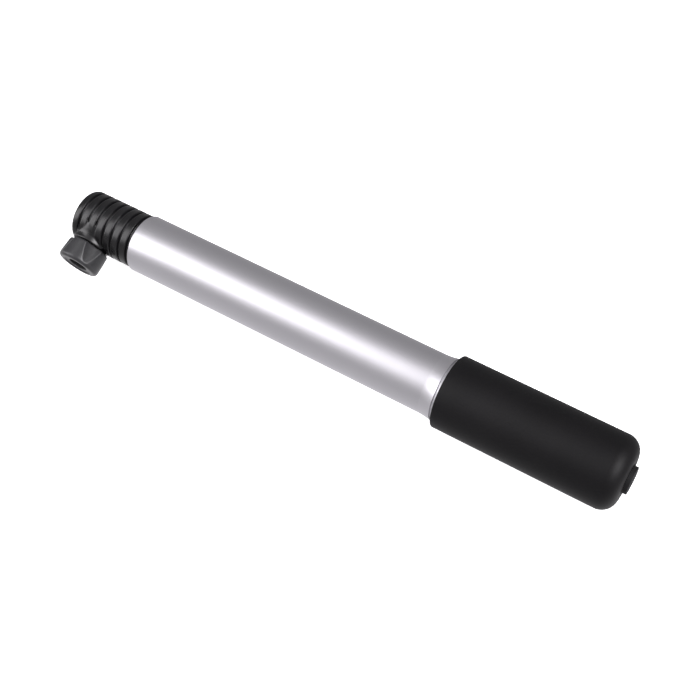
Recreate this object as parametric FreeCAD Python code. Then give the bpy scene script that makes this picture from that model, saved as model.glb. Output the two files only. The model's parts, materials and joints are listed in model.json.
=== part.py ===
import FreeCAD, Part
import math
import os

Vector = FreeCAD.Vector

# A hand-held frame pump lying along X: head at -X, handle at +X, nozzle pointing along -Y.
# The origin is on the pump's axis, at the middle of the bare barrel where a frame clip holds it.

# barrel
barrel_d = 25.0
barrel_wall = 1.5
bare_length = 146.5           # barrel seen between the head and the closed handle
barrel_end_round = 0.5
stop_ring_length = 6.5
stop_ring_rise = 0.55
stop_ring_lip = 0.7
stop_ring_groove = 0.5

# ribbed head
collar_step = 0.65            # the barrel stands this proud of the collar
collar_length = 30.8
collar_round = 2.0
spigot_length = 12.0
rib_pitch = 4.24
first_rib = 4.15
rib_groove_top = 1.5
rib_groove_floor = 0.8
rib_groove_depth = 0.7
rib_groove_count = 7

# nozzle
nozzle_inset = 9.2            # nozzle axis from the head's free end
boss_d = 16.4
boss_proud = 0.15             # boss's face past the collar, on the nozzle's side
boss_blend = 1.2
boss_margin = 1.3             # ribs stop this far from the boss
neck_wall = 1.2
neck_length = 4.0
thread_pitch = 1.0
thread_depth = 0.3
valve_pocket_gap = 0.3        # round the tyre valve, past the grommet
valve_pocket_depth = 2.6      # below the boss's face
air_way_d = 3.2
nut_wall = 3.45
nut_length = 9.6
nut_gap = 0.3                 # dark line between the boss and the nut
nut_round = 1.5
nut_face_recess = 0.4
nut_face_rim = 2.9
nut_end_wall = 1.4
nut_lobes = 4
scallop_r = 9.3
scallop_depth = 1.7
scallop_turn = -43.0          # the nut as it was left, from a scallop facing +Z
scallop_fade = 2.0            # scallops run out this far short of the nut's face
valve_hole_d = 7.8
grommet_washer_t = 0.8
depressor_plate_t = 1.0
depressor_pin_d = 2.0
depressor_pin_length = 4.4
depressor_hole_d = 1.5
depressor_hole_count = 4

# check valve in the head's spigot
retainer_t = 3.0
retainer_d = 12.0
retainer_hole_d = 4.0
seat_t = 2.0
seat_hole_d = 3.2
ball_d = 5.0
valve_chamber_d = 6.4
valve_chamber_length = 10.0
spring_wire_d = 0.5
spring_mean_d = 3.8
spring_coils = 4
spring_steps = 16             # points along each coil of the wire's path

# plunger
rod_d = 8.0
rod_neck_d = 6.0
piston_gap = 2.0              # from the head's spigot to the piston at rest
piston_length = 12.0
piston_socket = 4.0
piston_groove_from_front = 4.0
piston_ring_d = 2.4
piston_screw_d = 4.0
piston_screw_length = 15.0
piston_screw_head_d = 7.6
piston_screw_head_t = 2.6
piston_pocket = 4.0
piston_washer_t = 0.8
bumper_t = 3.0
bumper_d = 15.0

# rod gland at the barrel's hidden end
gland_insert = 12.0
gland_flange_t = 3.4
gland_bush_wall = 1.5
gland_ring_d = 1.8
gland_ring_inset = 5.0
vent_d = 1.6
vent_count = 3
detent_ring_d = 1.8
detent_land = 7.0             # narrow end of the handle's bore, which the ring holds shut

# handle
handle_wall = 2.2
handle_length = 74.8
handle_end_gap = 3.0          # closed handle's end wall to the rod gland
handle_bore_gap = 0.5         # from the barrel to the handle's bore
handle_end_wall = 7.0
handle_end_round = 6.5
mouth_round = 0.6
mouth_gap = 0.1               # closed handle to the stop ring
mouth_bush_length = 9.0
mouth_bush_wall = 0.85
mouth_bush_inset = 0.8
swivel_bush_wall = 1.6
swivel_pocket_d = 11.0
swivel_washer_t = 0.8
swivel_screw_d = 3.0
swivel_screw_length = 12.0
swivel_screw_head_d = 5.6
swivel_screw_head_t = 1.6
plug_d = 11.2
plug_proud = 1.8
plug_skirt = 1.4
plug_skirt_wall = 0.8

# clearances, all radial or face to face
fixed_gap = 0.02              # pieces glued, pressed or screwed together
running_gap = 0.05
thread_gap = 0.3
piston_side_gap = 0.3
swivel_play = 0.15
seat_gap = 0.04

# derived places
barrel_r = barrel_d / 2
bore_r = barrel_r - barrel_wall
head_joint_x = -bare_length / 2
mouth_x = bare_length / 2
head_end_x = head_joint_x - collar_length
spigot_end_x = head_joint_x + spigot_length
handle_end_x = mouth_x + handle_length
end_wall_x = handle_end_x - handle_end_wall
barrel_end_x = end_wall_x - handle_end_gap - gland_flange_t
collar_r = barrel_r - collar_step
nozzle_x = head_end_x + nozzle_inset
# every reach is measured from the pump's axis, out along the nozzle
boss_reach = collar_r + boss_proud
neck_end = boss_reach + neck_length
valve_pocket_floor = boss_reach - valve_pocket_depth
valve_pocket_r = valve_hole_d / 2 + valve_pocket_gap
neck_r = valve_pocket_r + neck_wall
nut_bore_r = neck_r + thread_gap
nut_r = nut_bore_r + nut_wall
nut_start = boss_reach + nut_gap
nut_reach = nut_start + nut_length
nut_inner_face = nut_reach - nut_end_wall
grommet_start = neck_end + grommet_washer_t
rod_r = rod_d / 2
piston_front_x = spigot_end_x + piston_gap
piston_back_x = piston_front_x + piston_length
piston_r = bore_r - piston_side_gap
rod_start_x = piston_back_x - piston_socket
gland_inner_x = barrel_end_x - gland_insert
gland_outer_x = barrel_end_x + gland_flange_t
handle_bore_r = barrel_r + handle_bore_gap
handle_r = handle_bore_r + handle_wall
detent_outer_r = barrel_r + running_gap / 2
rod_shoulder_x = end_wall_x - swivel_play
swivel_pocket_x = handle_end_x - plug_skirt - swivel_washer_t - swivel_screw_head_t - 2 * swivel_play
rod_end_x = swivel_pocket_x + swivel_play

pump_origin = Vector(0, 0, 0)
pump_axis = Vector(1, 0, 0)
nozzle_origin = Vector(nozzle_x, 0, 0)
nozzle_axis = Vector(0, -1, 0)
side = Vector(0, 0, 1)


def turned(outline, origin=pump_origin, axis=pump_axis):
    """Solid turned from an outline of (distance along the axis, radius) points."""
    points = [origin + axis * s + side * r for s, r in outline]
    face = Part.Face(Part.makePolygon(points + points[:1]))
    solid = face.revolve(origin, axis, 360)
    if solid.Volume < 0:
        solid.reverse()
    return solid


def rod_between(start, end, radius, origin=pump_origin, axis=pump_axis):
    return Part.makeCylinder(radius, end - start, origin + axis * start, axis)


def tube_between(start, end, outer, inner, origin=pump_origin, axis=pump_axis):
    return turned([(start, inner), (end, inner), (end, outer), (start, outer)], origin, axis)


def ring_section(x, middle_r, section_d):
    return Part.makeTorus(middle_r, section_d / 2, Vector(x, 0, 0), pump_axis)


def circles_at(shape, distance, radius, origin=pump_origin, axis=pump_axis):
    """The shape's circular edges at one distance along an axis, of one radius."""
    centre = origin + axis * distance
    found = []
    for edge in shape.Edges:
        curve = edge.Curve
        if not isinstance(curve, Part.Circle):
            continue
        if abs(curve.Radius - radius) < 0.001 and curve.Center.distanceToPoint(centre) < 0.001:
            found.append(edge)
    return found


def around(axis_distance, count, origin, axis):
    """Points evenly spaced on a circle about an axis, starting on the side direction."""
    across = axis.cross(side)
    for k in range(count):
        turn = 2 * math.pi * k / count
        yield origin + side * (axis_distance * math.cos(turn)) + across * (axis_distance * math.sin(turn))


def save(node, shape):
    shape = shape.removeSplitter()
    if len(shape.Solids) == 1:
        shape = shape.Solids[0]
    print(f"{node}: {len(shape.Solids)} solid, {shape.Volume:.1f} mm3, valid {shape.isValid()}")
    shape.exportStep(f"parts/{node}.step")


# barrel and head

def barrel_tube():
    tube = tube_between(head_joint_x, barrel_end_x, barrel_r, bore_r)
    return tube.makeFillet(barrel_end_round, circles_at(tube, head_joint_x, barrel_r))


def barrel_stop_ring():
    """A coved ring against which the closed handle rests."""
    end = mouth_x - mouth_gap
    lip = end - stop_ring_lip
    groove = lip - stop_ring_groove
    start = end - stop_ring_length
    inner = barrel_r + fixed_gap
    thin = 0.1
    cove_steps = 8
    outline = [(end, inner), (start, inner)]
    for k in range(cove_steps + 1):
        share = k / cove_steps
        outline.append((start + share * (groove - start), inner + thin + stop_ring_rise * share ** 2.2))
    top = inner + thin + stop_ring_rise
    outline += [(groove, top - stop_ring_groove), (lip, top - stop_ring_groove), (lip, top), (end, top)]
    return turned(outline)


def head_outside():
    collar = rod_between(head_end_x, head_joint_x, collar_r)
    collar = collar.makeFillet(collar_round, circles_at(collar, head_end_x, collar_r))
    boss = rod_between(0, boss_reach, boss_d / 2, nozzle_origin, nozzle_axis)
    body = collar.fuse(boss)
    meeting = []
    for edge in body.Edges:
        box = edge.BoundBox
        near_boss = abs(box.Center.x - nozzle_x) <= boss_d / 2
        if near_boss and box.YMax < -boss_d / 2 and box.YMin > -boss_reach + 0.1:
            meeting.append(edge)
    body = body.makeFillet(boss_blend, meeting)
    keep_out = rod_between(0, nut_reach, boss_d / 2 + boss_margin, nozzle_origin, nozzle_axis)
    for k in range(rib_groove_count):
        x = head_end_x + first_rib + k * rib_pitch
        floor = collar_r - rib_groove_depth
        over = collar_r + rib_groove_depth
        widest = rib_groove_top + (rib_groove_top - rib_groove_floor)
        groove = turned([(x - rib_groove_floor / 2, floor), (x + rib_groove_floor / 2, floor),
                         (x + widest / 2, over), (x - widest / 2, over)])
        body = body.cut(groove.cut(keep_out))
    return body


def threaded_neck():
    neck = rod_between(boss_reach - 1, neck_end, neck_r, nozzle_origin, nozzle_axis)
    count = int((neck_length - thread_pitch / 2) / thread_pitch)
    for k in range(count + 1):
        s = boss_reach + thread_pitch * (k + 0.6)
        floor = neck_r - thread_depth
        cut = turned([(s, floor), (s + thread_depth, neck_r + 0.1), (s - thread_depth, neck_r + 0.1)],
                     nozzle_origin, nozzle_axis)
        neck = neck.cut(cut)
    return neck


def head_body():
    body = head_outside()
    spigot_r = bore_r - fixed_gap
    body = body.fuse(rod_between(head_joint_x - 1, spigot_end_x, spigot_r))
    body = body.fuse(threaded_neck())
    groove_x = head_joint_x + spigot_length / 3
    body = body.cut(tube_between(groove_x - gland_ring_d * 0.65, groove_x + gland_ring_d * 0.65,
                                 bore_r + 1, bore_r - gland_ring_d))
    step_x = spigot_end_x - retainer_t - seat_t
    chamber_x = step_x - valve_chamber_length
    body = body.cut(rod_between(step_x, spigot_end_x + 1, retainer_d / 2))
    body = body.cut(rod_between(chamber_x, spigot_end_x, valve_chamber_d / 2))
    body = body.cut(rod_between(nozzle_x, chamber_x + 1, air_way_d / 2))
    body = body.cut(rod_between(0, valve_pocket_floor + 1, air_way_d / 2, nozzle_origin, nozzle_axis))
    pocket = rod_between(valve_pocket_floor, neck_end + 1, valve_pocket_r, nozzle_origin, nozzle_axis)
    return body.cut(pocket)


def head_o_ring():
    x = head_joint_x + spigot_length / 3
    return ring_section(x, bore_r - gland_ring_d / 2 - fixed_gap / 2, gland_ring_d - fixed_gap)


# check valve

def check_retainer():
    ring = tube_between(spigot_end_x - retainer_t, spigot_end_x, retainer_d / 2 - fixed_gap, retainer_hole_d / 2)
    for point in around(retainer_d / 4 + retainer_hole_d / 4, 2, Vector(spigot_end_x, 0, 0), pump_axis):
        ring = ring.cut(Part.makeCylinder(0.5, 1.5, point, pump_axis * -1))
    return ring


def check_seat():
    back = spigot_end_x - retainer_t
    return tube_between(back - seat_t, back, retainer_d / 2 - fixed_gap, seat_hole_d / 2)


def ball_centre_x():
    sunk = math.sqrt((ball_d / 2) ** 2 - (seat_hole_d / 2) ** 2)
    return spigot_end_x - retainer_t - seat_t - sunk - seat_gap


def check_ball():
    return Part.makeSphere(ball_d / 2, Vector(ball_centre_x(), 0, 0))


def check_spring():
    """Closed coil from the chamber's floor up to the ball."""
    floor = spigot_end_x - retainer_t - seat_t - valve_chamber_length
    clear = spring_wire_d / 2 + seat_gap
    reach = math.sqrt((ball_d / 2 + clear) ** 2 - (spring_mean_d / 2) ** 2)
    height = ball_centre_x() - reach - clear - (floor + clear)
    rise = height / spring_coils / (2 * math.pi)
    middle_r = spring_mean_d / 2
    turns = [2 * math.pi * k / spring_steps for k in range(spring_steps * spring_coils + 1)]
    points = [Vector(middle_r * math.cos(t), middle_r * math.sin(t), rise * t) for t in turns]
    path = Part.BSplineCurve()
    path.interpolate(points)
    section = Part.makeCircle(spring_wire_d / 2, points[0], Vector(0, middle_r, rise))
    coil = Part.Wire(path.toShape()).makePipeShell([Part.Wire(section)], True, True)
    coil.rotate(Vector(0, 0, 0), Vector(0, 1, 0), 90)
    coil.translate(Vector(floor + clear, 0, 0))
    return coil


# nozzle

def core_depressor():
    """Pierced plate with a pin that presses the tyre valve's core."""
    top = valve_pocket_floor + depressor_plate_t
    plate = rod_between(valve_pocket_floor, top, valve_pocket_r - fixed_gap, nozzle_origin, nozzle_axis)
    holes_at = (valve_pocket_r + depressor_pin_d / 2) / 2
    base = nozzle_origin + nozzle_axis * (valve_pocket_floor - 1)
    for point in around(holes_at, depressor_hole_count, base, nozzle_axis):
        plate = plate.cut(Part.makeCylinder(depressor_hole_d / 2, depressor_plate_t + 2, point, nozzle_axis))
    pin_end = top + depressor_pin_length
    pin = rod_between(top - 0.5, pin_end, depressor_pin_d / 2, nozzle_origin, nozzle_axis)
    pin = pin.makeFillet(0.4, circles_at(pin, pin_end, depressor_pin_d / 2, nozzle_origin, nozzle_axis))
    return plate.fuse(pin)


def grommet_washer():
    return tube_between(neck_end, grommet_start, neck_r, valve_pocket_r, nozzle_origin, nozzle_axis)


def valve_grommet():
    return tube_between(grommet_start, nut_inner_face, neck_r, valve_hole_d / 2, nozzle_origin, nozzle_axis)


def nozzle_nut():
    """Six-lobed nut whose finger scallops fade out towards its face."""
    nut = rod_between(nut_start, nut_reach, nut_r, nozzle_origin, nozzle_axis)
    length = nut_reach - nut_start
    lean = math.atan2(scallop_depth, length - scallop_fade)
    tool_from = nozzle_axis * nut_start
    for k in range(nut_lobes):
        middle = nut_r + scallop_r - scallop_depth
        start = Vector(nozzle_x, 0, middle) + tool_from
        direction = Vector(0, -math.cos(lean), math.sin(lean))
        tool = Part.makeCylinder(scallop_r, 2 * length, start - direction * length / 2, direction)
        tool.rotate(nozzle_origin, nozzle_axis, 360 / nut_lobes * k + scallop_turn)
        nut = nut.cut(tool)
    nut = nut.makeFillet(nut_round, circles_at(nut, nut_reach, nut_r, nozzle_origin, nozzle_axis))
    recess = rod_between(nut_reach - nut_face_recess, nut_reach + 1, nut_r - nut_face_rim,
                         nozzle_origin, nozzle_axis)
    nut = nut.cut(recess)
    nut = nut.cut(rod_between(nut_start - 1, nut_inner_face, nut_bore_r, nozzle_origin, nozzle_axis))
    return nut.cut(rod_between(nut_start, nut_reach + 1, valve_pocket_r, nozzle_origin, nozzle_axis))


# plunger

def piston_rod():
    rod = rod_between(rod_start_x, rod_shoulder_x, rod_r)
    rod = rod.fuse(rod_between(rod_shoulder_x - 1, rod_end_x, rod_neck_d / 2))
    head_seat_x = piston_front_x + piston_pocket
    front_hole = head_seat_x + piston_washer_t + piston_screw_length + 1
    rod = rod.cut(rod_between(rod_start_x - 1, front_hole, piston_screw_d / 2 + fixed_gap))
    back_hole = rod_end_x - swivel_screw_length - 1
    return rod.cut(rod_between(back_hole, rod_end_x + 1, swivel_screw_d / 2 + fixed_gap))


def piston_body():
    body = rod_between(piston_front_x, piston_back_x, piston_r)
    groove_x = piston_front_x + piston_groove_from_front
    half = piston_ring_d * 0.6
    groove_floor = bore_r - piston_ring_d
    body = body.cut(tube_between(groove_x - half, groove_x + half, bore_r + 1, groove_floor))
    body = body.cut(rod_between(piston_front_x - 1, piston_front_x + piston_pocket,
                                piston_screw_head_d / 2 + thread_gap))
    body = body.cut(rod_between(piston_front_x, piston_back_x, piston_screw_d / 2 + fixed_gap))
    return body.cut(rod_between(rod_start_x, piston_back_x + 1, rod_r + fixed_gap))


def piston_o_ring():
    section = piston_ring_d - 2 * running_gap
    return ring_section(piston_front_x + piston_groove_from_front, bore_r - piston_ring_d / 2, section)


def piston_washer():
    seat = piston_front_x + piston_pocket
    return tube_between(seat - piston_washer_t, seat, piston_screw_head_d / 2 + thread_gap / 2,
                        piston_screw_d / 2 + fixed_gap)


def socket_screw(head_face, thread_end, shank_d, head_d, head_t, towards):
    """Cap screw along the pump's axis; head_face is where its head bears."""
    head_end = head_face - towards * head_t
    head = rod_between(min(head_face, head_end), max(head_face, head_end), head_d / 2)
    shank = rod_between(min(head_face, thread_end), max(head_face, thread_end), shank_d / 2)
    socket_start = Vector(head_end, 0, 0)
    corners = [point for point in around(shank_d * 0.35, 6, socket_start, pump_axis)]
    socket = Part.Face(Part.makePolygon(corners + corners[:1])).extrude(pump_axis * (towards * head_t * 0.6))
    return head.fuse(shank).cut(socket)


def piston_screw():
    face = piston_front_x + piston_pocket - piston_washer_t
    return socket_screw(face, face + piston_screw_length, piston_screw_d, piston_screw_head_d,
                        piston_screw_head_t, 1)


def rod_bumper():
    bumper = tube_between(piston_back_x, piston_back_x + bumper_t, bumper_d / 2, rod_r + fixed_gap)
    return bumper.makeFillet(0.8, circles_at(bumper, piston_back_x + bumper_t, bumper_d / 2))


# rod gland

def rod_gland():
    inner = gland_bush_wall + rod_r + running_gap + fixed_gap
    body = tube_between(gland_inner_x, barrel_end_x, bore_r - fixed_gap, inner)
    body = body.fuse(tube_between(barrel_end_x, gland_outer_x, barrel_r, inner))
    ring_x = barrel_end_x - gland_ring_inset
    body = body.cut(tube_between(ring_x - gland_ring_d * 0.65, ring_x + gland_ring_d * 0.65,
                                 bore_r + 1, bore_r - gland_ring_d))
    detent_x = (barrel_end_x + gland_outer_x) / 2
    floor = detent_outer_r - detent_ring_d
    body = body.cut(tube_between(detent_x - detent_ring_d * 0.6, detent_x + detent_ring_d * 0.6,
                                 barrel_r + 1, floor))
    vent_at = (inner + bore_r - gland_ring_d) / 2
    for point in around(vent_at, vent_count, Vector(gland_inner_x - 1, 0, 0), pump_axis):
        body = body.cut(Part.makeCylinder(vent_d / 2, gland_insert + gland_flange_t + 2, point, pump_axis))
    return body


def gland_o_ring():
    x = barrel_end_x - gland_ring_inset
    return ring_section(x, bore_r - gland_ring_d / 2 - fixed_gap / 2, gland_ring_d - fixed_gap)


def gland_bush():
    outer = gland_bush_wall + rod_r + running_gap
    return tube_between(gland_inner_x, gland_outer_x, outer, rod_r + running_gap)


def detent_o_ring():
    x = (barrel_end_x + gland_outer_x) / 2
    middle = detent_outer_r - detent_ring_d / 2
    return ring_section(x, middle, detent_ring_d - 2 * fixed_gap)


# handle

def handle_shell():
    shell = rod_between(mouth_x, handle_end_x, handle_r)
    shell = shell.makeFillet(handle_end_round, circles_at(shell, handle_end_x, handle_r))
    shell = shell.makeFillet(mouth_round, circles_at(shell, mouth_x, handle_r))
    shell = shell.cut(rod_between(mouth_x - 1, end_wall_x - detent_land, handle_bore_r))
    shell = shell.cut(rod_between(mouth_x - 1, end_wall_x, barrel_r + running_gap))
    bush_r = barrel_r + running_gap + mouth_bush_wall + fixed_gap
    shell = shell.cut(rod_between(mouth_x - 1, mouth_x + mouth_bush_inset + mouth_bush_length, bush_r))
    swivel_r = rod_neck_d / 2 + running_gap + swivel_bush_wall + fixed_gap
    shell = shell.cut(rod_between(end_wall_x - 1, swivel_pocket_x + 1, swivel_r))
    return shell.cut(rod_between(swivel_pocket_x, handle_end_x + 1, swivel_pocket_d / 2))


def mouth_bush():
    start = mouth_x + mouth_bush_inset
    inner = barrel_r + running_gap
    return tube_between(start, start + mouth_bush_length, inner + mouth_bush_wall, inner)


def swivel_bush():
    inner = rod_neck_d / 2 + running_gap
    return tube_between(end_wall_x, swivel_pocket_x, inner + swivel_bush_wall, inner)


def swivel_washer():
    return tube_between(rod_end_x, rod_end_x + swivel_washer_t, swivel_pocket_d / 2 - thread_gap,
                        swivel_screw_d / 2 + fixed_gap)


def swivel_screw():
    face = rod_end_x + swivel_washer_t
    return socket_screw(face, face - swivel_screw_length, swivel_screw_d, swivel_screw_head_d,
                        swivel_screw_head_t, -1)


def end_plug():
    cap = rod_between(handle_end_x, handle_end_x + plug_proud, plug_d / 2)
    cap = cap.makeFillet(0.3, circles_at(cap, handle_end_x + plug_proud, plug_d / 2))
    skirt_r = swivel_pocket_d / 2 - fixed_gap
    return cap.fuse(tube_between(handle_end_x - plug_skirt, handle_end_x, skirt_r, skirt_r - plug_skirt_wall))


makers = [
    barrel_tube, barrel_stop_ring, head_body, head_o_ring,
    check_retainer, check_seat, check_ball, check_spring,
    core_depressor, grommet_washer, valve_grommet, nozzle_nut,
    piston_rod, piston_body, piston_o_ring, piston_washer, piston_screw, rod_bumper,
    rod_gland, gland_o_ring, gland_bush, detent_o_ring,
    handle_shell, mouth_bush, swivel_bush, swivel_washer, swivel_screw, end_plug,
]

os.makedirs("parts", exist_ok=True)
for maker in makers:
    save(maker.__name__, maker())
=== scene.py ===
import bpy
import json
import math
from mathutils import Matrix, Vector


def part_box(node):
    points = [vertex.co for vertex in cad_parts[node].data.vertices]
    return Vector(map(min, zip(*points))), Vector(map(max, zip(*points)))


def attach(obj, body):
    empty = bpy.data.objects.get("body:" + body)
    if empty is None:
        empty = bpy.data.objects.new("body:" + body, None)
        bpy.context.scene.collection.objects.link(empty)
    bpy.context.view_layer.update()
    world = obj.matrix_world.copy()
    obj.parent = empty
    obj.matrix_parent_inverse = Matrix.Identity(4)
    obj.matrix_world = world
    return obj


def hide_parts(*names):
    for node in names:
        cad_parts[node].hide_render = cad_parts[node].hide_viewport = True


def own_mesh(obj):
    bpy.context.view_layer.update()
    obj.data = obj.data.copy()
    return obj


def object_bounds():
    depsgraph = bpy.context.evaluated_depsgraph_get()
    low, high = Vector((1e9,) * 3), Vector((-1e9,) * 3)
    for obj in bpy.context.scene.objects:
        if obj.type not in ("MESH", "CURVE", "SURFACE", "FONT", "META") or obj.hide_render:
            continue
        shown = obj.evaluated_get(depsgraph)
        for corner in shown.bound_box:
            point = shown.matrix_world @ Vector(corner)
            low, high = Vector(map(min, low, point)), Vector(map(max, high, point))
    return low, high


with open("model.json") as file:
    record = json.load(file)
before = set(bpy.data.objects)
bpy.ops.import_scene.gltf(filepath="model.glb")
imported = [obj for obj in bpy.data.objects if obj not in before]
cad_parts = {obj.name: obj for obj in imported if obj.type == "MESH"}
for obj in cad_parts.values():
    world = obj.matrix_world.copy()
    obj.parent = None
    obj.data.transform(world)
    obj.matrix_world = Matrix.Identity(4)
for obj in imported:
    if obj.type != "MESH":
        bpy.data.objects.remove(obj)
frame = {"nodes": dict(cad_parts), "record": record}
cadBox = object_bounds()
print("stage 1: frame loaded")

mm = 0.001
mergeWithin = 0.002 * mm
pumpLine = Vector((1, 0, 0))        # from the head to the handle
nozzleLine = Vector((0, -1, 0))     # out of the nozzle
upward = Vector((0, 0, 1))


def span(node, side):
    # lowest and highest place of a CAD node in mm, where side 0 is X, 1 is Y and 2 is Z
    low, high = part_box(node)
    return low[side] / mm, high[side] / mm


def radiusOf(node):
    return span(node, 2)[1]


cameraSet = {
    "place": (0.18115, -0.11439, 0.43665),
    "turn": (21.311, 9.612, 30.276),
    "lens": 61.714,
    "nearest": 0.01,
}


def addCamera():
    data = bpy.data.cameras.new("camera")
    camera = bpy.data.objects.new("camera", data)
    bpy.context.scene.collection.objects.link(camera)
    camera.location = cameraSet["place"]
    camera.rotation_euler = [math.radians(angle) for angle in cameraSet["turn"]]
    data.lens = cameraSet["lens"]
    data.clip_start = cameraSet["nearest"]
    bpy.context.scene.camera = camera


addCamera()
print("stage 2: camera")


# modelling steps that the pieces share

def deselectAll():
    if bpy.context.mode != "OBJECT":
        bpy.ops.object.mode_set(mode="OBJECT")
    bpy.ops.object.select_all(action="DESELECT")


def pick(piece):
    deselectAll()
    piece.select_set(True)
    bpy.context.view_layer.objects.active = piece


def turned(name, outline, line=pumpLine, base=Vector(), steps=192):
    # outline points are (mm along the line, mm from it), drawn as a chain of edges and then spun
    places = [base + (line * along + upward * out) * mm for along, out in outline]
    deselectAll()
    bpy.ops.mesh.primitive_plane_add(size=mm, location=places[0])
    piece = bpy.context.object
    piece.name = name
    bpy.ops.object.mode_set(mode="EDIT")
    bpy.ops.mesh.merge(type="CENTER")
    for here, there in zip(places, places[1:]):
        bpy.ops.mesh.extrude_vertices_move(TRANSFORM_OT_translate={"value": there - here})
    bpy.ops.mesh.select_all(action="SELECT")
    bpy.ops.mesh.spin(steps=steps, angle=math.tau, center=base, axis=line)
    bpy.ops.mesh.select_all(action="SELECT")
    bpy.ops.mesh.remove_doubles(threshold=mergeWithin)
    bpy.ops.mesh.normals_make_consistent(inside=False)
    bpy.ops.object.mode_set(mode="OBJECT")
    bpy.ops.object.transform_apply(location=True, rotation=True, scale=True)
    return piece


def closed(outline):
    return outline + outline[:1]


def arc(alongMiddle, outMiddle, size, fromTurn, toTurn, parts=10):
    # round stretch of an outline; 0 degrees points along the line, 90 away from it
    points = []
    for k in range(parts + 1):
        turn = math.radians(fromTurn + (toTurn - fromTurn) * k / parts)
        points.append((alongMiddle + size * math.cos(turn), outMiddle + size * math.sin(turn)))
    return points


def applyModifier(piece, kind, **settings):
    pick(piece)
    modifier = piece.modifiers.new(kind.lower(), kind)
    for key, value in settings.items():
        setattr(modifier, key, value)
    bpy.ops.object.modifier_apply(modifier=modifier.name)


def combine(piece, tool, operation):
    applyModifier(piece, "BOOLEAN", object=tool, operation=operation, solver="EXACT")
    bpy.data.objects.remove(tool)


def melt(piece, voxel, rounds):
    # one skin over joined shapes, with every corner softened
    applyModifier(piece, "REMESH", mode="VOXEL", voxel_size=voxel * mm)
    applyModifier(piece, "SMOOTH", factor=0.5, iterations=rounds)


def finish(piece, body, node, material, angle=40):
    pick(piece)
    bpy.ops.object.shade_smooth_by_angle(angle=math.radians(angle))
    piece.data.materials.clear()
    piece.data.materials.append(material)
    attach(piece, body)
    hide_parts(node)
    print("   made", piece.name, len(piece.data.polygons), "faces")


# shader groups

def newGroup(name, inputs, outputs):
    group = bpy.data.node_groups.new(name, "ShaderNodeTree")
    for label, kind, value in inputs:
        socket = group.interface.new_socket(label, in_out="INPUT", socket_type=kind)
        if value is not None:
            socket.default_value = value
    for label, kind in outputs:
        group.interface.new_socket(label, in_out="OUTPUT", socket_type=kind)
    return group, group.nodes.new("NodeGroupInput"), group.nodes.new("NodeGroupOutput")


def addNode(tree, kind, **settings):
    node = tree.nodes.new(kind)
    for key, value in settings.items():
        setattr(node, key, value)
    return node


def wire(tree, source, target):
    tree.links.new(source, target)


def makeGrainGroup():
    # fine moulded or blasted grain, with a slower unevenness under it
    group, inlet, outlet = newGroup(
        "surfaceGrain",
        [("Place", "NodeSocketVector", None), ("Grains Per Metre", "NodeSocketFloat", 4000.0),
         ("Waves Per Metre", "NodeSocketFloat", 120.0), ("Wave Share", "NodeSocketFloat", 0.3)],
        [("Height", "NodeSocketFloat")])
    grain = addNode(group, "ShaderNodeTexNoise")
    grain.inputs["Detail"].default_value = 3.0
    grain.inputs["Roughness"].default_value = 0.6
    wave = addNode(group, "ShaderNodeTexNoise")
    wave.inputs["Detail"].default_value = 2.0
    mix = addNode(group, "ShaderNodeMix", data_type="FLOAT")
    wire(group, inlet.outputs["Place"], grain.inputs["Vector"])
    wire(group, inlet.outputs["Place"], wave.inputs["Vector"])
    wire(group, inlet.outputs["Grains Per Metre"], grain.inputs["Scale"])
    wire(group, inlet.outputs["Waves Per Metre"], wave.inputs["Scale"])
    wire(group, inlet.outputs["Wave Share"], mix.inputs["Factor"])
    wire(group, grain.outputs["Fac"], mix.inputs["A"])
    wire(group, wave.outputs["Fac"], mix.inputs["B"])
    wire(group, mix.outputs["Result"], outlet.inputs["Height"])
    return group


def makeStreakGroup():
    # fine lines left by drawing or turning: Stretch squeezes the pattern along one side
    group, inlet, outlet = newGroup(
        "drawnLines",
        [("Place", "NodeSocketVector", None), ("Stretch", "NodeSocketVector", (1.0, 1.0, 1.0)),
         ("Lines Per Metre", "NodeSocketFloat", 3000.0)],
        [("Height", "NodeSocketFloat")])
    squeeze = addNode(group, "ShaderNodeVectorMath", operation="MULTIPLY")
    lines = addNode(group, "ShaderNodeTexNoise")
    lines.inputs["Detail"].default_value = 4.0
    lines.inputs["Roughness"].default_value = 0.7
    wire(group, inlet.outputs["Place"], squeeze.inputs[0])
    wire(group, inlet.outputs["Stretch"], squeeze.inputs[1])
    wire(group, squeeze.outputs["Vector"], lines.inputs["Vector"])
    wire(group, inlet.outputs["Lines Per Metre"], lines.inputs["Scale"])
    wire(group, lines.outputs["Fac"], outlet.inputs["Height"])
    return group


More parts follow.
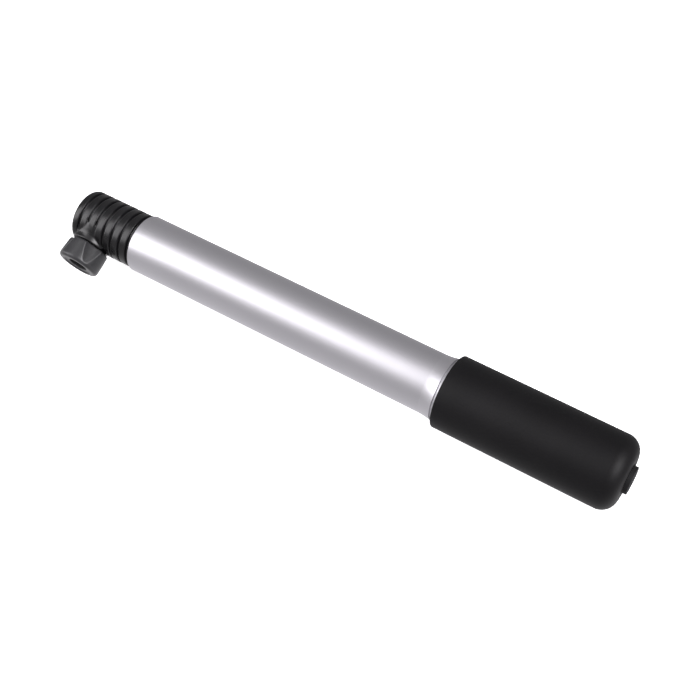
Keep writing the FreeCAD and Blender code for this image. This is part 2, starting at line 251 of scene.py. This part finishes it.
def makeWearGroup():
    # rubbed and dusty patches between a clean and a worn colour, stronger on outer corners
    group, inlet, outlet = newGroup(
        "handledWear",
        [("Place", "NodeSocketVector", None), ("Clean", "NodeSocketColor", (0.02, 0.02, 0.02, 1)),
         ("Worn", "NodeSocketColor", (0.05, 0.05, 0.05, 1)), ("Patches Per Metre", "NodeSocketFloat", 90.0),
         ("Patch Amount", "NodeSocketFloat", 0.25), ("Corner Amount", "NodeSocketFloat", 0.3),
         ("Smooth Roughness", "NodeSocketFloat", 0.4), ("Worn Roughness", "NodeSocketFloat", 0.6)],
        [("Color", "NodeSocketColor"), ("Roughness", "NodeSocketFloat")])
    patches = addNode(group, "ShaderNodeTexNoise")
    patches.inputs["Detail"].default_value = 6.0
    patches.inputs["Roughness"].default_value = 0.65
    spread = addNode(group, "ShaderNodeMapRange")
    spread.inputs["From Min"].default_value = 0.42
    spread.inputs["From Max"].default_value = 0.72
    shape = addNode(group, "ShaderNodeNewGeometry")
    corners = addNode(group, "ShaderNodeMapRange")
    corners.inputs["From Min"].default_value = 0.52
    corners.inputs["From Max"].default_value = 0.62
    patchPart = addNode(group, "ShaderNodeMath", operation="MULTIPLY")
    cornerPart = addNode(group, "ShaderNodeMath", operation="MULTIPLY")
    total = addNode(group, "ShaderNodeMath", operation="ADD", use_clamp=True)
    colours = addNode(group, "ShaderNodeMix", data_type="RGBA")
    roughs = addNode(group, "ShaderNodeMix", data_type="FLOAT")
    wire(group, inlet.outputs["Place"], patches.inputs["Vector"])
    wire(group, inlet.outputs["Patches Per Metre"], patches.inputs["Scale"])
    wire(group, patches.outputs["Fac"], spread.inputs["Value"])
    wire(group, shape.outputs["Pointiness"], corners.inputs["Value"])
    wire(group, spread.outputs["Result"], patchPart.inputs[0])
    wire(group, inlet.outputs["Patch Amount"], patchPart.inputs[1])
    wire(group, corners.outputs["Result"], cornerPart.inputs[0])
    wire(group, inlet.outputs["Corner Amount"], cornerPart.inputs[1])
    wire(group, patchPart.outputs["Value"], total.inputs[0])
    wire(group, cornerPart.outputs["Value"], total.inputs[1])
    wire(group, total.outputs["Value"], colours.inputs["Factor"])
    wire(group, inlet.outputs["Clean"], colours.inputs["A"])
    wire(group, inlet.outputs["Worn"], colours.inputs["B"])
    wire(group, total.outputs["Value"], roughs.inputs["Factor"])
    wire(group, inlet.outputs["Smooth Roughness"], roughs.inputs["A"])
    wire(group, inlet.outputs["Worn Roughness"], roughs.inputs["B"])
    wire(group, colours.outputs["Result"], outlet.inputs["Color"])
    wire(group, roughs.outputs["Result"], outlet.inputs["Roughness"])
    return group


grainGroup = makeGrainGroup()
streakGroup = makeStreakGroup()
wearGroup = makeWearGroup()


def makeMaterial(name, clean, worn, smooth, rough, metallic=0.0, specular=0.5, grains=4000.0, grainDepth=0.02,
                 patches=90.0, patchAmount=0.25, cornerAmount=0.3, stretch=None, lines=3000.0, lineDepth=0.0):
    # depths are in mm, grains, patches and lines are how many to a metre
    material = bpy.data.materials.new(name)
    material.use_nodes = True
    tree = material.node_tree
    shader = tree.nodes["Principled BSDF"]
    shader.inputs["Metallic"].default_value = metallic
    shader.inputs["Specular IOR Level"].default_value = specular
    place = addNode(tree, "ShaderNodeTexCoord").outputs["Object"]

    wear = addNode(tree, "ShaderNodeGroup", node_tree=wearGroup)
    wear.inputs["Clean"].default_value = (*clean, 1)
    wear.inputs["Worn"].default_value = (*worn, 1)
    wear.inputs["Patches Per Metre"].default_value = patches
    wear.inputs["Patch Amount"].default_value = patchAmount
    wear.inputs["Corner Amount"].default_value = cornerAmount
    wear.inputs["Smooth Roughness"].default_value = smooth
    wear.inputs["Worn Roughness"].default_value = rough
    wire(tree, place, wear.inputs["Place"])
    wire(tree, wear.outputs["Color"], shader.inputs["Base Color"])
    wire(tree, wear.outputs["Roughness"], shader.inputs["Roughness"])

    grain = addNode(tree, "ShaderNodeGroup", node_tree=grainGroup)
    grain.inputs["Grains Per Metre"].default_value = grains
    wire(tree, place, grain.inputs["Place"])
    bump = addNode(tree, "ShaderNodeBump")
    bump.inputs["Strength"].default_value = 1.0
    bump.inputs["Distance"].default_value = grainDepth * mm
    wire(tree, grain.outputs["Height"], bump.inputs["Height"])
    normal = bump.outputs["Normal"]
    if stretch:
        streaks = addNode(tree, "ShaderNodeGroup", node_tree=streakGroup)
        streaks.inputs["Stretch"].default_value = stretch
        streaks.inputs["Lines Per Metre"].default_value = lines
        wire(tree, place, streaks.inputs["Place"])
        second = addNode(tree, "ShaderNodeBump")
        second.inputs["Strength"].default_value = 1.0
        second.inputs["Distance"].default_value = lineDepth * mm
        wire(tree, streaks.outputs["Height"], second.inputs["Height"])
        wire(tree, normal, second.inputs["Normal"])
        normal = second.outputs["Normal"]
    wire(tree, normal, shader.inputs["Normal"])
    return material


materialSet = {
    "barrelAluminium": dict(clean=(0.66, 0.65, 0.68), worn=(0.56, 0.55, 0.58), smooth=0.42, rough=0.48,
                            metallic=1.0, grains=9000.0, grainDepth=0.002, patches=25.0, patchAmount=0.35,
                            cornerAmount=0.1, stretch=(0.03, 1.0, 1.0), lines=5000.0, lineDepth=0.0015),
    "polishedRing": dict(clean=(0.66, 0.65, 0.68), worn=(0.58, 0.57, 0.60), smooth=0.44, rough=0.50,
                         metallic=1.0, grains=9000.0, grainDepth=0.001, patches=60.0, stretch=(1.0, 0.04, 0.04),
                         lines=6000.0, lineDepth=0.0006),
    "rodAluminium": dict(clean=(0.74, 0.74, 0.75), worn=(0.58, 0.58, 0.60), smooth=0.16, rough=0.28,
                         metallic=1.0, grains=9000.0, grainDepth=0.001, stretch=(0.02, 1.0, 1.0),
                         lines=6000.0, lineDepth=0.0015),
    "headPlastic": dict(clean=(0.0030, 0.0029, 0.0034), worn=(0.009, 0.009, 0.010), smooth=0.27, rough=0.44,
                        grains=3200.0, grainDepth=0.026, patchAmount=0.3, cornerAmount=0.35),
    "handlePlastic": dict(clean=(0.0032, 0.0029, 0.0034), worn=(0.0068, 0.0063, 0.0071), smooth=0.50, rough=0.60,
                          grains=3600.0, grainDepth=0.018, patchAmount=0.35, patches=35.0, specular=0.2),
    # the nut's base colour is lighter than the head's black plastic: painted light standing in for the glancing
    # light on its face
    "nutPlasticPaintedLight": dict(clean=(0.019, 0.019, 0.020), worn=(0.036, 0.036, 0.040), smooth=0.30, rough=0.48,
                       grains=3600.0, grainDepth=0.016, patchAmount=0.35, cornerAmount=0.45),
    "greyPlastic": dict(clean=(0.09, 0.09, 0.10), worn=(0.13, 0.13, 0.14), smooth=0.38, rough=0.5,
                        grains=5000.0, grainDepth=0.008),
    "whitePlastic": dict(clean=(0.72, 0.71, 0.66), worn=(0.60, 0.58, 0.52), smooth=0.35, rough=0.5,
                         grains=5000.0, grainDepth=0.006),
    "rubber": dict(clean=(0.006, 0.006, 0.0065), worn=(0.016, 0.016, 0.017), smooth=0.62, rough=0.78,
                   grains=6000.0, grainDepth=0.02, specular=0.3),
    "brass": dict(clean=(0.72, 0.50, 0.22), worn=(0.48, 0.33, 0.15), smooth=0.22, rough=0.4, metallic=1.0,
                  grains=9000.0, grainDepth=0.002),
    "steel": dict(clean=(0.62, 0.62, 0.63), worn=(0.45, 0.44, 0.44), smooth=0.22, rough=0.4, metallic=1.0,
                  grains=9000.0, grainDepth=0.002),
}
materials = {name: makeMaterial(name, **values) for name, values in materialSet.items()}
slotFinish = {
    "barrel_aluminium": "barrelAluminium", "polished_ring": "polishedRing", "rod_aluminium": "rodAluminium",
    "black_plastic": "headPlastic", "handle_plastic": "handlePlastic", "nut_plastic": "nutPlasticPaintedLight",
    "grey_plastic": "greyPlastic", "white_plastic": "whitePlastic", "rubber": "rubber",
    "brass": "brass", "steel": "steel",
}


def dressNodes():
    for part in frame["record"]["subparts"]:
        node = frame["nodes"][part["node"]]
        for slot in node.material_slots:
            slot.material = materials[slotFinish[part["material_slot"]]]


dressNodes()
print("stage 3: materials")


# head: one skin over the ribbed collar, the boss and the saddle between them

nozzleAt = sum(span("nozzle_nut", 0)) / 2
nozzleBase = Vector((nozzleAt, 0, 0)) * mm

headSet = {
    "end": span("head_body", 0)[0],
    "joint": span("barrel_tube", 0)[0],
    "radius": radiusOf("head_body"),
    "endRound": 2.0,
    "ribPitch": 4.24, "firstRib": 4.15, "ribCount": 7,
    "grooveTop": 1.3, "grooveFloor": 0.8, "grooveDepth": 1.15,
    "bossRadius": 8.2, "bossReach": 12.0, "bossLip": 0.4, "bossFrom": 5.0, "saddleRadius": 8.7,
    "groundStart": 0.5, "groundRise": 1.5, "groundFull": 2.0, "groundDrop": 0.06,
    "flare": [(5.0, 10.5), (6.4, 9.97), (7.5, 9.4), (8.5, 8.8), (9.5, 8.35), (10.5, 8.2)],
    "pocketRadius": 4.2, "pocketFloor": 9.4, "trim": 0.15, "trimRadius": 20.0,
    "voxel": 0.24, "softening": 3,
}


def makeHead():
    end, joint, radius, bend = (headSet[key] for key in ("end", "joint", "radius", "endRound"))
    top, floor, depth = (headSet[key] / 2 for key in ("grooveTop", "grooveFloor", "grooveDepth"))
    outline = [(end, 0)] + arc(end + bend, radius - bend, bend, 180, 90)
    for k in range(headSet["ribCount"]):
        x = end + headSet["firstRib"] + k * headSet["ribPitch"]
        outline += [(x - top, radius), (x - floor, radius - 2 * depth),
                    (x + floor, radius - 2 * depth), (x + top, radius)]
    outline += [(joint, radius), (joint, 0)]
    head = turned("ribbedHead", outline)

    # plain ground that the ribs run into beside the boss
    first, full = end + headSet["groundStart"], end + headSet["groundFull"]
    level = radius - headSet["groundDrop"]
    ground = turned("ground", [(first, 0), (first, radius - headSet["groundRise"]), (full, level), (joint, level),
                               (joint, 0)])
    reach, size, lip = (headSet[key] for key in ("bossReach", "bossRadius", "bossLip"))
    saddle = turned("saddle", [(0, 0), (0, headSet["saddleRadius"]), (reach, headSet["saddleRadius"]),
                               (reach, 0)], nozzleLine, nozzleBase)
    combine(saddle, ground, "INTERSECT")
    combine(head, saddle, "UNION")
    outline = [(headSet["bossFrom"], 0)] + headSet["flare"]
    outline += [(reach - lip, size), (reach, size - lip), (reach, 0)]
    boss = turned("boss", outline, nozzleLine, nozzleBase)
    first, wide = end + headSet["trim"], headSet["trimRadius"]
    trim = turned("trim", [(first, 0), (first, wide), (0, wide), (0, 0)])
    combine(boss, trim, "INTERSECT")
    combine(head, boss, "UNION")
    pocket = turned("pocket", [(headSet["pocketFloor"], 0), (headSet["pocketFloor"], headSet["pocketRadius"]),
                               (reach + 1, headSet["pocketRadius"]), (reach + 1, 0)], nozzleLine, nozzleBase)
    combine(head, pocket, "DIFFERENCE")
    melt(head, headSet["voxel"], headSet["softening"])
    finish(head, "barrel", "head_body", materials["headPlastic"], angle=60)


neckSet = {
    "from": 11.5, "end": -span("head_body", 1)[0], "radius": 5.4,
    "rings": 4, "firstRing": 0.6, "pitch": 1.0, "threadDepth": 0.3, "floorHalf": 0.05,
}


def makeNeck():
    # rings stand for the fine thread that the nut runs on
    start, end, radius, deep = (neckSet[key] for key in ("from", "end", "radius", "threadDepth"))
    inner, half = headSet["pocketRadius"], neckSet["floorHalf"]
    outline = [(start, inner), (start, radius)]
    for k in range(neckSet["rings"]):
        s = headSet["bossReach"] + neckSet["pitch"] * (k + neckSet["firstRing"])
        outline += [(s - deep, radius), (s - half, radius - deep), (s + half, radius - deep), (s + deep, radius)]
    outline += [(end, radius - half), (end, inner)]
    neck = turned("threadedNeck", closed(outline), nozzleLine, nozzleBase, 128)
    finish(neck, "barrel", "head_body", materials["headPlastic"])


spigotSet = {
    "end": span("head_body", 0)[1], "radius": 10.98, "chamfer": 0.4,
    "ringAt": sum(span("head_o_ring", 0)) / 2, "ringHalf": 1.17, "ringFloor": 9.2,
    "seatDepth": 5.0, "seatRadius": 6.0, "chamber": 3.2,
}


def makeSpigot():
    # plug inside the barrel that carries the check valve
    end, radius, cut = (spigotSet[key] for key in ("end", "radius", "chamfer"))
    at, half, floor = (spigotSet[key] for key in ("ringAt", "ringHalf", "ringFloor"))
    start, step = headSet["joint"] - 1, end - spigotSet["seatDepth"]
    outline = [(start, spigotSet["chamber"]), (start, radius), (at - half, radius), (at - half, floor),
               (at + half, floor), (at + half, radius), (end - cut, radius), (end, radius - cut),
               (end, spigotSet["seatRadius"]), (step, spigotSet["seatRadius"]), (step, spigotSet["chamber"])]
    spigot = turned("headSpigot", closed(outline))
    finish(spigot, "barrel", "head_body", materials["headPlastic"])


# screw nut with finger scallops

nutSet = {
    "start": -span("nozzle_nut", 1)[1], "reach": -span("nozzle_nut", 1)[0],
    "radius": 9.15, "bore": 5.7, "endWall": 1.4, "hole": 4.2,
    "faceRim": 2.9, "faceRecess": 0.45, "faceRound": 1.5, "backRound": 0.5,
    "scallops": 4, "scallopRadius": 9.3, "scallopDepth": 1.7, "scallopFade": 2.0, "scallopTurn": -43,
    "rimSlopeOut": 0.2, "rimSlopeIn": 0.1, "cutterLength": 40,
    "voxel": 0.15, "softening": 18,
}


def makeNut():
    start, reach, radius, bend = (nutSet[key] for key in ("start", "reach", "radius", "faceRound"))
    back, rim, recess = radius - nutSet["backRound"], radius - nutSet["faceRim"], nutSet["faceRecess"]
    inner = reach - nutSet["endWall"]
    outline = [(start, nutSet["bore"]), (start, back), (start + nutSet["backRound"], radius)]
    outline += arc(reach - bend, radius - bend, bend, 90, 0, 6)
    outline += [(reach, rim + nutSet["rimSlopeOut"]), (reach - recess, rim - nutSet["rimSlopeIn"]),
                (reach - recess, nutSet["hole"]), (inner, nutSet["hole"]), (inner, nutSet["bore"])]
    nut = turned("nozzleNut", closed(outline), nozzleLine, nozzleBase)
    lean = math.atan2(nutSet["scallopDepth"], reach - start - nutSet["scallopFade"])
    out = radius + nutSet["scallopRadius"] - nutSet["scallopDepth"]
    for k in range(nutSet["scallops"]):
        turn = math.radians(360 / nutSet["scallops"] * k + nutSet["scallopTurn"])
        aim = Matrix.Rotation(turn, 3, nozzleLine)
        place = nozzleBase + (nozzleLine * start + aim @ upward * out) * mm
        aim = aim @ Matrix.Rotation(math.pi / 2 - lean, 3, "X")
        deselectAll()
        bpy.ops.mesh.primitive_cylinder_add(
            vertices=128, radius=nutSet["scallopRadius"] * mm, depth=nutSet["cutterLength"] * mm,
            location=place, rotation=aim.to_euler())
        combine(nut, bpy.context.object, "DIFFERENCE")
    melt(nut, nutSet["voxel"], nutSet["softening"])
    finish(nut, "nozzle_cap", "nozzle_nut", materials["nutPlasticPaintedLight"], angle=60)


grommetSet = {"outer": radiusOf("valve_grommet"), "bore": 3.9, "lip": 0.5}


def makeGrommet():
    start, end = -span("valve_grommet", 1)[1], -span("valve_grommet", 1)[0]
    outer, bore, lip = grommetSet["outer"], grommetSet["bore"], grommetSet["lip"]
    outline = [(start, outer), (end, outer)] + arc(end - lip, bore + lip, lip, 0, -90, 6)
    outline += arc(start + lip, bore + lip, lip, -90, -180, 6)
    grommet = turned("valveGrommet", closed(outline), nozzleLine, nozzleBase, 128)
    finish(grommet, "seal_stack", "valve_grommet", materials["rubber"])


# barrel

barrelSet = {
    "start": span("barrel_tube", 0)[0], "end": span("barrel_tube", 0)[1],
    "radius": radiusOf("barrel_tube"), "wall": 1.5, "round": 0.5, "ringAt": 20,
}


def makeBarrel():
    start, end, radius, bend = (barrelSet[key] for key in ("start", "end", "radius", "round"))
    bore = radius - barrelSet["wall"]
    outline = [(start, bore)] + arc(start + bend, radius - bend, bend, 180, 90, 6)
    outline += [(start + barrelSet["ringAt"], radius), (0, radius), (end - barrelSet["ringAt"], radius)]
    outline += [(end, radius), (end, bore)]
    barrel = turned("barrelTube", closed(outline), steps=256)
    finish(barrel, "barrel", "barrel_tube", materials["barrelAluminium"])


stopRingSet = {
    "start": span("barrel_stop_ring", 0)[0], "end": span("barrel_stop_ring", 0)[1],
    "inner": 12.52, "top": radiusOf("barrel_stop_ring"), "edge": 0.02,
    "lip": 0.7, "groove": 0.5, "grooveDepth": 0.45, "steps": 24, "cove": 1.9, "corner": 0.1,
}


def makeStopRing():
    # swept up from the tube in one smooth cove, then a fine groove and a bright lip
    start, end, top, inner = (stopRingSet[key] for key in ("start", "end", "top", "inner"))
    low, lip = inner + stopRingSet["edge"], end - stopRingSet["lip"]
    groove, floor = lip - stopRingSet["groove"], top - stopRingSet["grooveDepth"]
    corner = stopRingSet["corner"]
    outline = [(end, inner), (start, inner)]
    for k in range(stopRingSet["steps"] + 1):
        share = k / stopRingSet["steps"]
        rise = (top - low) * share ** stopRingSet["cove"]
        outline.append((start + share * (groove - corner - start), low + rise))
    outline += [(groove, top - corner), (groove, floor), (lip, floor), (lip, top - corner), (lip + corner, top),
                (end - corner, top), (end, top - corner)]
    ring = turned("barrelStopRing", closed(outline), steps=256)
    finish(ring, "barrel", "barrel_stop_ring", materials["polishedRing"], angle=50)


# handle

handleSet = {
    "mouth": span("handle_shell", 0)[0], "end": span("handle_shell", 0)[1],
    "radius": radiusOf("handle_shell"), "mouthRound": 0.6, "endRound": 6.5,
    "bushSeat": radiusOf("mouth_bush") + 0.02, "bushEnd": span("mouth_bush", 0)[1],
    "bore": 13.0, "landStart": 134.05, "land": 12.55, "landSlope": 0.5, "ringAt": 8,
    "wall": span("swivel_bush", 0)[0], "seatEnd": span("swivel_bush", 0)[1],
    "seat": radiusOf("swivel_bush") + 0.02, "pocket": 5.5,
    "rimOuter": 6.35, "rimInner": 5.66, "rimRise": 0.22, "rimFoot": 0.3, "rimSlopeOut": 0.2, "rimSlopeIn": 0.05,
}


def makeHandle():
    mouth, end, radius = handleSet["mouth"], handleSet["end"], handleSet["radius"]
    first, last, rise = handleSet["mouthRound"], handleSet["endRound"], handleSet["rimRise"]
    outer, inner = handleSet["rimOuter"], handleSet["rimInner"]
    outline = [(mouth, handleSet["bushSeat"])] + arc(mouth + first, radius - first, first, 180, 90, 8)
    outline += [(mouth + handleSet["ringAt"], radius), (end - last - handleSet["ringAt"], radius)]
    outline += arc(end - last, radius - last, last, 90, 0, 24)
    outline += [(end, outer + handleSet["rimFoot"]), (end, outer), (end + rise, outer - handleSet["rimSlopeOut"]),
                (end + rise, inner + handleSet["rimSlopeIn"]), (end, inner), (end, handleSet["pocket"]),
                (handleSet["seatEnd"], handleSet["pocket"]), (handleSet["seatEnd"], handleSet["seat"]),
                (handleSet["wall"], handleSet["seat"]), (handleSet["wall"], handleSet["land"]),
                (handleSet["landStart"], handleSet["land"]),
                (handleSet["landStart"] - handleSet["landSlope"], handleSet["bore"]),
                (handleSet["bushEnd"], handleSet["bore"]), (handleSet["bushEnd"], handleSet["bushSeat"])]
    handle = turned("handleShell", closed(outline), steps=256)
    finish(handle, "handle", "handle_shell", materials["handlePlastic"], angle=35)


plugSet = {
    "base": span("handle_shell", 0)[1], "top": span("end_plug", 0)[1], "skirt": span("end_plug", 0)[0],
    "radius": radiusOf("end_plug"), "edge": 0.2, "skirtOuter": 5.48, "skirtInner": 4.68,
    "dish": 0.5, "dishSide": 0.4, "dishRim": 2.0, "faceRim": 0.9,
}


def makePlug():
    base, top, radius, bend = (plugSet[key] for key in ("base", "top", "radius", "edge"))
    outline = [(top - plugSet["dish"], 0), (top - plugSet["dishSide"], radius - plugSet["dishRim"]),
               (top, radius - plugSet["faceRim"])]
    outline += arc(top - bend, radius - bend, bend, 0, 90, 4)
    outline += [(base, radius), (base, plugSet["skirtOuter"]), (plugSet["skirt"], plugSet["skirtOuter"]),
                (plugSet["skirt"], plugSet["skirtInner"]), (base, plugSet["skirtInner"]), (base, 0)]
    plug = turned("endPlug", outline, steps=128)
    finish(plug, "handle", "end_plug", materials["rubber"])


springSet = {
    "start": span("check_spring", 0)[0], "end": span("check_spring", 0)[1],
    "joint": "check_ball_lift", "mergeWithin": 0.001 * mm,
}


def makeSpring():
    # the valve's own coil, a copy of the CAD node's mesh
    coil = frame["nodes"]["check_spring"].data.copy()
    spring = bpy.data.objects.new("checkSpring", coil)
    bpy.context.scene.collection.objects.link(spring)
    pick(spring)
    bpy.ops.object.mode_set(mode="EDIT")
    bpy.ops.mesh.select_all(action="SELECT")
    bpy.ops.mesh.remove_doubles(threshold=springSet["mergeWithin"])
    bpy.ops.object.mode_set(mode="OBJECT")
    finish(spring, "barrel", "check_spring", materials["steel"])
    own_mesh(spring)


for makePiece in (makeHead, makeNeck, makeSpigot, makeNut, makeGrommet, makeBarrel, makeStopRing,
                  makeHandle, makePlug, makeSpring):
    makePiece()
print("stage 4: pieces")


floorSet = {
    "size": 6.0, "light": (0.92, 0.92, 0.92), "dark": (0.88, 0.88, 0.885), "clouds": 6.0,
    "roughness": 0.9, "glow": 0.85,
}


def addFloor():
    deselectAll()
    bpy.ops.mesh.primitive_plane_add(size=floorSet["size"], location=(0, 0, cadBox[0][2]))
    floor = bpy.context.object
    floor.name = "paleFloor"
    material = bpy.data.materials.new("paleFloor")
    material.use_nodes = True
    tree = material.node_tree
    shader = tree.nodes["Principled BSDF"]
    clouds = addNode(tree, "ShaderNodeTexNoise")
    clouds.inputs["Scale"].default_value = floorSet["clouds"]
    shade = addNode(tree, "ShaderNodeMix", data_type="RGBA")
    shade.inputs["A"].default_value = (*floorSet["light"], 1)
    shade.inputs["B"].default_value = (*floorSet["dark"], 1)
    wire(tree, addNode(tree, "ShaderNodeTexCoord").outputs["Object"], clouds.inputs["Vector"])
    wire(tree, clouds.outputs["Fac"], shade.inputs["Factor"])
    wire(tree, shade.outputs["Result"], shader.inputs["Base Color"])
    shader.inputs["Roughness"].default_value = floorSet["roughness"]
    shader.inputs["Specular IOR Level"].default_value = 0.0
    shader.inputs["Emission Color"].default_value = (1, 1, 1, 1)
    seen = addNode(tree, "ShaderNodeLightPath")
    glow = addNode(tree, "ShaderNodeMath", operation="MULTIPLY")
    glow.inputs[1].default_value = floorSet["glow"]
    wire(tree, seen.outputs["Is Camera Ray"], glow.inputs[0])
    wire(tree, glow.outputs["Value"], shader.inputs["Emission Strength"])
    clear = addNode(tree, "ShaderNodeBsdfTransparent")
    mix = addNode(tree, "ShaderNodeMixShader")
    wire(tree, seen.outputs["Is Glossy Ray"], mix.inputs["Fac"])
    wire(tree, shader.outputs["BSDF"], mix.inputs[1])
    wire(tree, clear.outputs["BSDF"], mix.inputs[2])
    wire(tree, mix.outputs["Shader"], tree.nodes["Material Output"].inputs["Surface"])
    floor.data.materials.append(material)


# light tent: a room that is darker overhead and on the +Y side, with a long soft panel overhead that fades
# towards the handle and brightens again past its end

lightSet = {
    "tint": (0.99, 0.975, 1.0),
    "scale": 10.0,
    # degrees about the X axis, 0 is straight up and 90 is +Y, and how bright the room is there
    "room": [(-180, 1.0), (-152, 0.85), (-130, 0.68), (-100, 0.56), (-75, 0.42), (-50, 0.34), (0, 0.32), (60, 0.33),
             (85, 0.30), (110, 0.32), (140, 0.42), (160, 0.7), (180, 1.0)],
    # the panel's share across the same turn, which leans with the X part of the direction up to leanTo
    "across": [(-40, 0.0), (-34, 0.06), (-24, 1.0), (18, 1.0), (25, 0.04), (34, 0.0)],
    "lean": -62, "leanFrom": -0.27, "leanTo": -0.07,
    # how bright the panel is by the X part of the direction
    "along": [(-1.0, 3.0), (-0.62, 4.2), (-0.52, 4.0), (-0.45, 3.0), (-0.39, 2.1), (-0.34, 1.5), (-0.27, 0.95),
              (-0.20, 0.66), (-0.10, 0.45), (0.1, 0.4), (0.4, 0.8), (0.55, 10.0), (0.72, 10.0), (1.0, 0.3)],
    "boxPlace": (-0.45, -0.15, 0.9), "boxSize": (0.7, 1.0), "boxPower": 2.5,
}


def addCurve(tree, source, low, high, stops, scale):
    # brightness by place between low and high, read off a smooth ramp
    spread = addNode(tree, "ShaderNodeMapRange")
    spread.inputs["From Min"].default_value = low
    spread.inputs["From Max"].default_value = high
    ramp = addNode(tree, "ShaderNodeValToRGB")
    ramp.color_ramp.interpolation = "EASE"
    while len(ramp.color_ramp.elements) < len(stops):
        ramp.color_ramp.elements.new(0.5)
    for element, (place, value) in zip(ramp.color_ramp.elements, stops):
        element.position = (place - low) / (high - low)
        element.color = (value / scale, value / scale, value / scale, 1)
    wire(tree, source, spread.inputs["Value"])
    wire(tree, spread.outputs["Result"], ramp.inputs["Fac"])
    return ramp.outputs["Color"]


def addLights():
    world = bpy.data.worlds.new("room")
    bpy.context.scene.world = world
    world.use_nodes = True
    tree = world.node_tree
    place = addNode(tree, "ShaderNodeTexCoord")
    parts = addNode(tree, "ShaderNodeSeparateXYZ")
    turn = addNode(tree, "ShaderNodeMath", operation="ARCTAN2")
    wire(tree, place.outputs["Generated"], parts.inputs["Vector"])
    wire(tree, parts.outputs["Y"], turn.inputs[0])
    wire(tree, parts.outputs["Z"], turn.inputs[1])
    room = addCurve(tree, turn.outputs["Value"], -math.pi, math.pi,
                    [(math.radians(a), v) for a, v in lightSet["room"]], lightSet["scale"])
    short = addNode(tree, "ShaderNodeMath", operation="MINIMUM")
    short.inputs[1].default_value = lightSet["leanTo"]
    shift = addNode(tree, "ShaderNodeMath", operation="SUBTRACT")
    shift.inputs[1].default_value = lightSet["leanFrom"]
    leaned = addNode(tree, "ShaderNodeMath", operation="MULTIPLY_ADD")
    leaned.inputs[1].default_value = math.radians(lightSet["lean"])
    wire(tree, parts.outputs["X"], short.inputs[0])
    wire(tree, short.outputs["Value"], shift.inputs[0])
    wire(tree, shift.outputs["Value"], leaned.inputs[0])
    wire(tree, turn.outputs["Value"], leaned.inputs[2])
    across = addCurve(tree, leaned.outputs["Value"], -math.pi, math.pi,
                      [(math.radians(a), v) for a, v in lightSet["across"]], 1.0)
    along = addCurve(tree, parts.outputs["X"], -1.0, 1.0, lightSet["along"], lightSet["scale"])
    panel = addNode(tree, "ShaderNodeMix", data_type="RGBA", blend_type="MULTIPLY")
    panel.inputs["Factor"].default_value = 1.0
    both = addNode(tree, "ShaderNodeMix", data_type="RGBA", blend_type="ADD")
    both.inputs["Factor"].default_value = 1.0
    tint = addNode(tree, "ShaderNodeMix", data_type="RGBA", blend_type="MULTIPLY")
    tint.inputs["Factor"].default_value = 1.0
    tint.inputs["B"].default_value = (*lightSet["tint"], 1)
    wire(tree, across, panel.inputs["A"])
    wire(tree, along, panel.inputs["B"])
    wire(tree, room, both.inputs["A"])
    wire(tree, panel.outputs["Result"], both.inputs["B"])
    wire(tree, both.outputs["Result"], tint.inputs["A"])
    wire(tree, tint.outputs["Result"], tree.nodes["Background"].inputs["Color"])
    tree.nodes["Background"].inputs["Strength"].default_value = lightSet["scale"]
    # past the floor's edge the camera sees the same white
    white = addNode(tree, "ShaderNodeBackground")
    white.inputs["Color"].default_value = (1, 1, 1, 1)
    seen = addNode(tree, "ShaderNodeLightPath")
    swap = addNode(tree, "ShaderNodeMixShader")
    wire(tree, seen.outputs["Is Camera Ray"], swap.inputs["Fac"])
    wire(tree, tree.nodes["Background"].outputs["Background"], swap.inputs[1])
    wire(tree, white.outputs["Background"], swap.inputs[2])
    wire(tree, swap.outputs["Shader"], tree.nodes["World Output"].inputs["Surface"])

    # weak fill for matt surfaces, unseen in reflections
    data = bpy.data.lights.new("softBox", "AREA")
    data.shape = "RECTANGLE"
    data.size, data.size_y = lightSet["boxSize"]
    data.energy = lightSet["boxPower"]
    light = bpy.data.objects.new("softBox", data)
    bpy.context.scene.collection.objects.link(light)
    light.location = lightSet["boxPlace"]
    light.visible_glossy = False
    bpy.context.scene.view_settings.view_transform = "Standard"


addFloor()
addLights()
print("stage 5: floor and lights")
